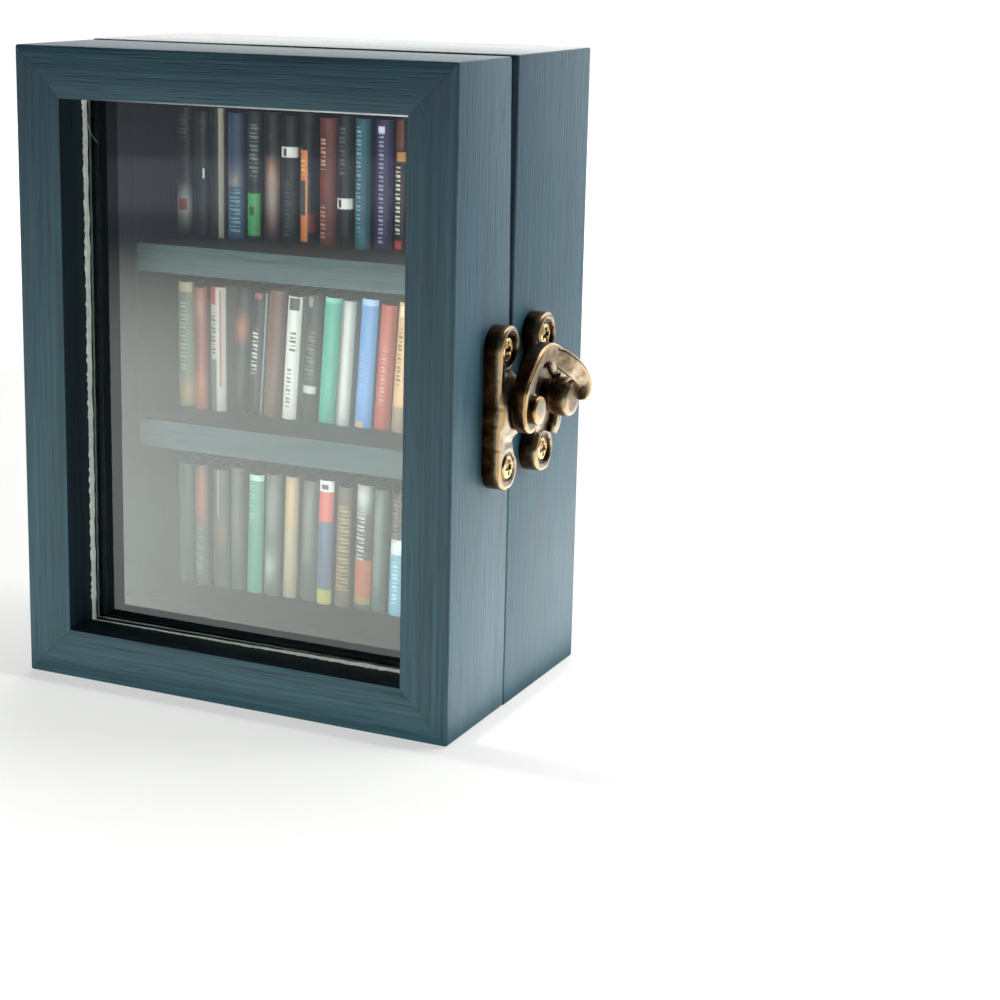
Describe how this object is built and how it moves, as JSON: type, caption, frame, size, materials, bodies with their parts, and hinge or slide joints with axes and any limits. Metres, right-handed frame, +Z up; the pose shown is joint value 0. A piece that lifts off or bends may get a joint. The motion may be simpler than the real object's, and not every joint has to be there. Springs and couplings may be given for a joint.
{
  "type": "display case",
  "caption": "Upright wooden case of shelved miniature books behind a deep hinged glazed door, with butt hinges on one side and a swinging hook latch on the other",
  "frame": {"origin": "centre of the case's underside, where the closed case and its door stand, midway between the case's front and back", "axes": "+Z up, -Y out of the glazed front, +X towards the latch side, -X towards the hinge side"},
  "size_m": [0.114, 0.0642, 0.131],
  "materials": {
    "case_wood": "teal-blue stained wood with visible grain, satin",
    "door_wood": "teal-blue stained wood with visible grain, satin",
    "panel_wood": "dark stained thin board, matte",
    "shelf_wood": "teal-blue stained wood, satin",
    "glass": "clear flat glass",
    "glue": "dried clear-white glue bead",
    "brass": "polished brass, slightly tarnished",
    "pin_brass": "dull brass",
    "bronze": "antique bronze plating with worn edges",
    "screw_brass": "brass cross-recess screws",
    "covers_top": "printed paper covers, mostly dark, satin",
    "covers_middle": "printed paper covers, mixed warm and blue, satin",
    "covers_bottom": "printed paper covers, mostly grey and tan, satin",
    "paper": "block of cream paper pages, matte"
  },
  "bodies": {
    "case": {"case_top_rail": "case_wood", "case_bottom_rail": "case_wood", "case_left_stile": "case_wood", "case_right_stile": "case_wood", "back_panel": "panel_wood", "upper_shelf": "shelf_wood", "lower_shelf": "shelf_wood", "top_row_covers": "covers_top", "top_row_pages": "paper", "middle_row_covers": "covers_middle", "middle_row_pages": "paper", "bottom_row_covers": "covers_bottom", "bottom_row_pages": "paper", "upper_hinge_case_leaf": "brass", "lower_hinge_case_leaf": "brass", "upper_hinge_pin": "pin_brass", "lower_hinge_pin": "pin_brass", "hinge_case_screws": "screw_brass", "catch_plate": "bronze", "catch_knob": "bronze", "catch_screws": "screw_brass"},
    "door": {"door_top_rail": "door_wood", "door_bottom_rail": "door_wood", "door_left_stile": "door_wood", "door_right_stile": "door_wood", "glass_pane": "glass", "front_glue_bead": "glue", "rear_glue_bead": "glue", "upper_hinge_door_leaf": "brass", "lower_hinge_door_leaf": "brass", "hinge_door_screws": "screw_brass", "hook_plate": "bronze", "hook_rivet": "bronze", "hook_plate_screws": "screw_brass"},
    "hook": {"hook": "bronze"}
  },
  "joints": [
    {"name": "door_hinge", "type": "hinge", "parent": "case", "child": "door", "pos_m": [-0.0511, -0.01855, 0.0655], "axis": [0, 0, -1], "range_deg": [0, 180]},
    {"name": "hook_swing", "type": "hinge", "parent": "door", "child": "hook", "pos_m": [0.0487, -0.02615, 0.0641], "axis": [1, 0, 0], "range_deg": [0, 180]}
  ]
}
